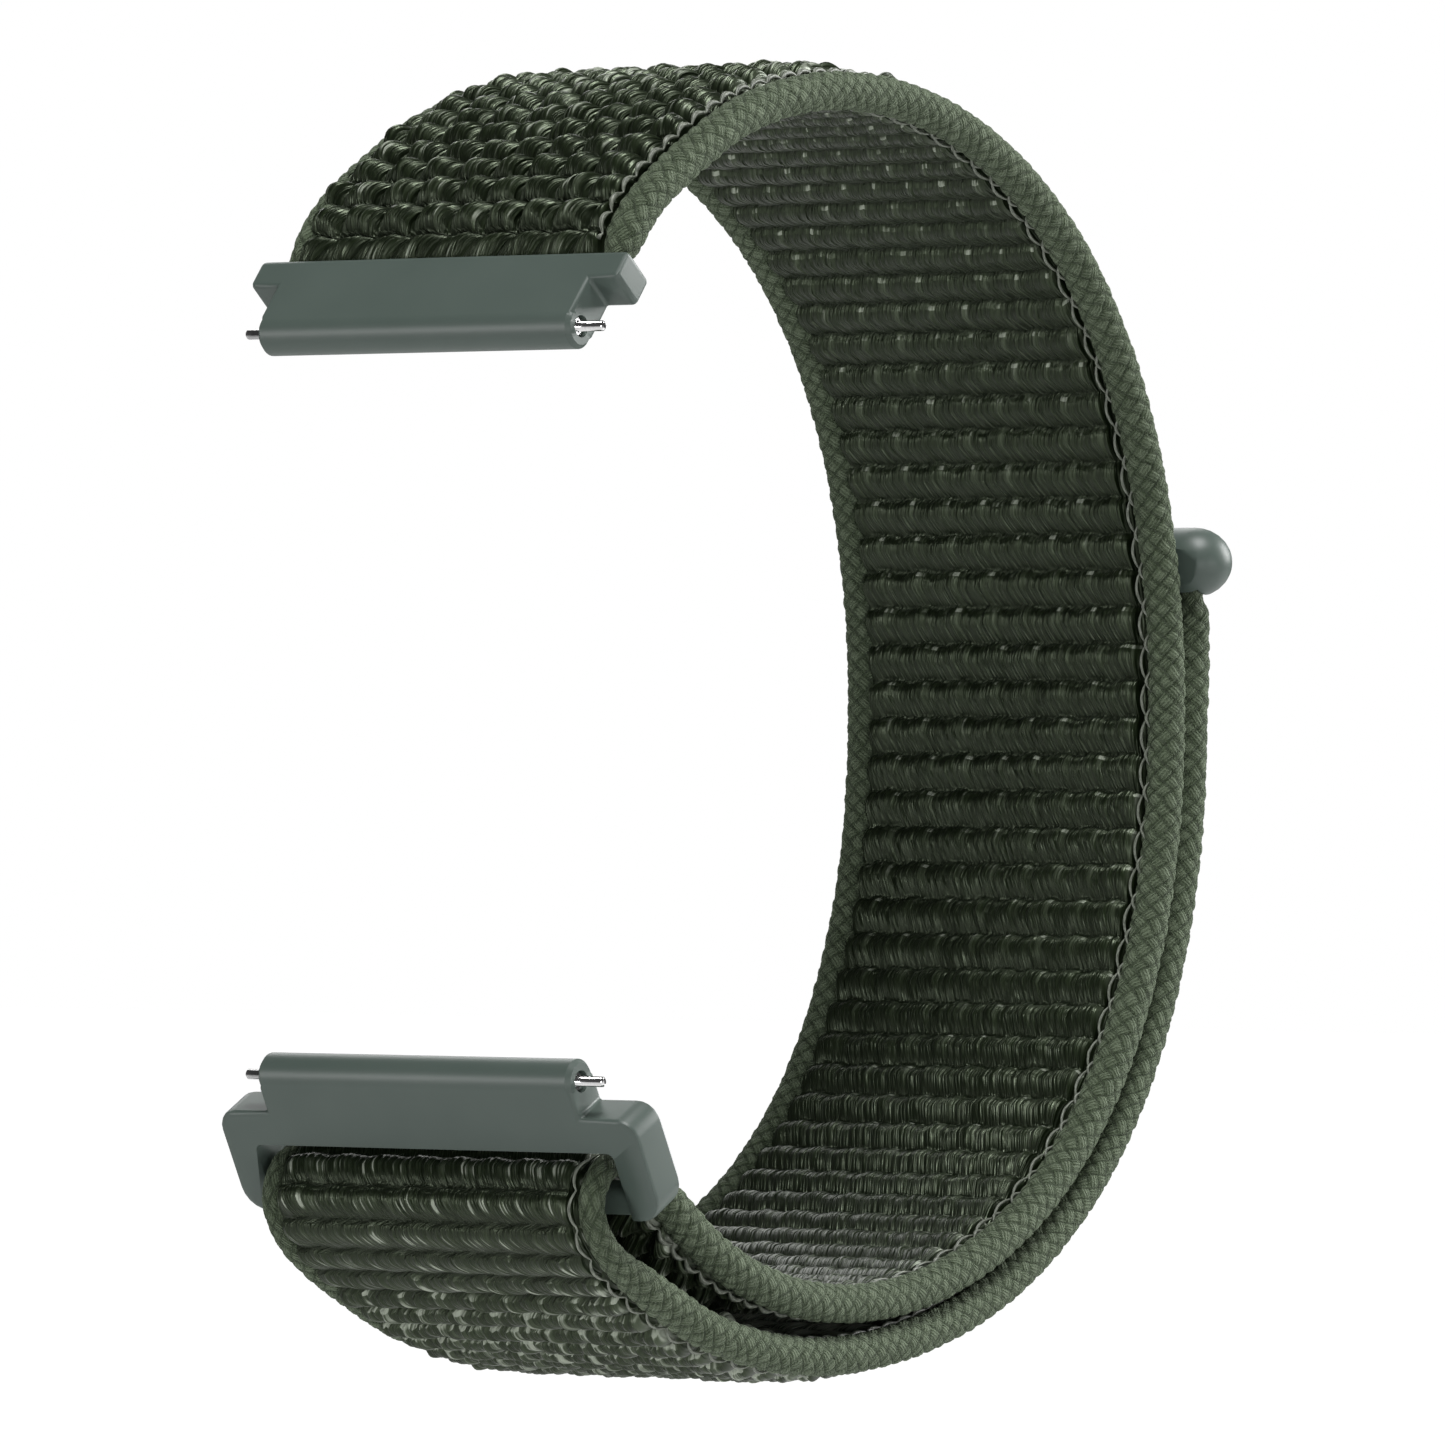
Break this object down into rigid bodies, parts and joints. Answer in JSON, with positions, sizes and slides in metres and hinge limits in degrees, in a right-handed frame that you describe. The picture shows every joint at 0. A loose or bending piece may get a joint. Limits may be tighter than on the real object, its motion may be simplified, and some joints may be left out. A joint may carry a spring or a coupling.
{
  "type": "hook and loop watch strap",
  "caption": "Woven loop watch strap with braided edges, a tail that folds back through a ring and peels open, and spring-bar connectors for a watch with 20 mm lugs.",
  "frame": {"origin": "midway between the two spring bars, where the centre of the watch's case would be", "axes": "+X from the watch into the wrist loop, +Y across the band, +Z from the lower spring bar to the upper one"},
  "size_m": [0.0593, 0.0264, 0.0687],
  "materials": {
    "moulded_connector": "satin slate green moulding",
    "spring_bar_chrome": "polished",
    "spring_steel": "drawn wire",
    "woven_loop": "dark olive woven nylon with a loop face",
    "braided_edge": "sage green braided cord",
    "hook_tape": "dark hook tape",
    "rod_plastic": "plain rod"
  },
  "bodies": {
    "strap": {"upper_connector": "moulded_connector", "start_rod": "rod_plastic", "band_web": "woven_loop", "fold_web": "woven_loop", "band_cord_near": "braided_edge", "band_cord_far": "braided_edge"},
    "ring": {"lower_connector": "moulded_connector"},
    "upper_bar": {"upper_bar_barrel": "spring_bar_chrome", "upper_bar_spring": "spring_steel"},
    "upper_tip_near": {"upper_bar_tip_near": "spring_bar_chrome"},
    "upper_tip_far": {"upper_bar_tip_far": "spring_bar_chrome"},
    "lower_bar": {"lower_bar_barrel": "spring_bar_chrome", "lower_bar_spring": "spring_steel"},
    "lower_tip_near": {"lower_bar_tip_near": "spring_bar_chrome"},
    "lower_tip_far": {"lower_bar_tip_far": "spring_bar_chrome"},
    "tail_lower": {"tail_1_web": "woven_loop", "tail_1_cord_near": "braided_edge", "tail_1_cord_far": "braided_edge"},
    "tail_middle": {"tail_2_web": "woven_loop", "tail_2_cord_near": "braided_edge", "tail_2_cord_far": "braided_edge"},
    "tail_end": {"tail_3_web": "woven_loop", "tail_3_cord_near": "braided_edge", "tail_3_cord_far": "braided_edge", "hook_patch": "hook_tape", "end_bar": "moulded_connector"}
  },
  "joints": [
    {"name": "upper_bar_turn", "type": "hinge", "parent": "strap", "child": "upper_bar", "pos_m": [0, 0, 0.019], "axis": [0, 1, 0], "continuous": true},
    {"name": "upper_tip_near_press", "type": "slide", "parent": "upper_bar", "child": "upper_tip_near", "axis": [0, 1, 0], "range_m": [0, 0.00125], "stiffness_N_per_m": 600, "springref_m": -0.003, "deforming": ["upper_bar_spring"]},
    {"name": "upper_tip_far_press", "type": "slide", "parent": "upper_bar", "child": "upper_tip_far", "axis": [0, -1, 0], "range_m": [0, 0.00125], "stiffness_N_per_m": 600, "springref_m": -0.003},
    {"name": "lower_bar_turn", "type": "hinge", "parent": "ring", "child": "lower_bar", "pos_m": [0, 0, -0.019], "axis": [0, 1, 0], "continuous": true},
    {"name": "lower_tip_near_press", "type": "slide", "parent": "lower_bar", "child": "lower_tip_near", "axis": [0, 1, 0], "range_m": [0, 0.00125], "stiffness_N_per_m": 600, "springref_m": -0.003, "deforming": ["lower_bar_spring"]},
    {"name": "lower_tip_far_press", "type": "slide", "parent": "lower_bar", "child": "lower_tip_far", "axis": [0, -1, 0], "range_m": [0, 0.00125], "stiffness_N_per_m": 600, "springref_m": -0.003},
    {"name": "ring_swivel", "type": "hinge", "parent": "strap", "child": "ring", "pos_m": [0.00315, 0, -0.02493], "axis": [0, 1, 0], "range_deg": [-30, 45]},
    {"name": "tail_lower_peel", "type": "hinge", "parent": "strap", "child": "tail_lower", "pos_m": [0.00614, 0, -0.03174], "axis": [0, 1, 0], "range_deg": [0, 50]},
    {"name": "tail_middle_peel", "type": "hinge", "parent": "tail_lower", "child": "tail_middle", "pos_m": [0.0323, 0, -0.0343], "axis": [0, 1, 0], "range_deg": [0, 60]},
    {"name": "tail_end_peel", "type": "hinge", "parent": "tail_middle", "child": "tail_end", "pos_m": [0.05358, 0, -0.01888], "axis": [0, 1, 0], "range_deg": [0, 75]}
  ]
}
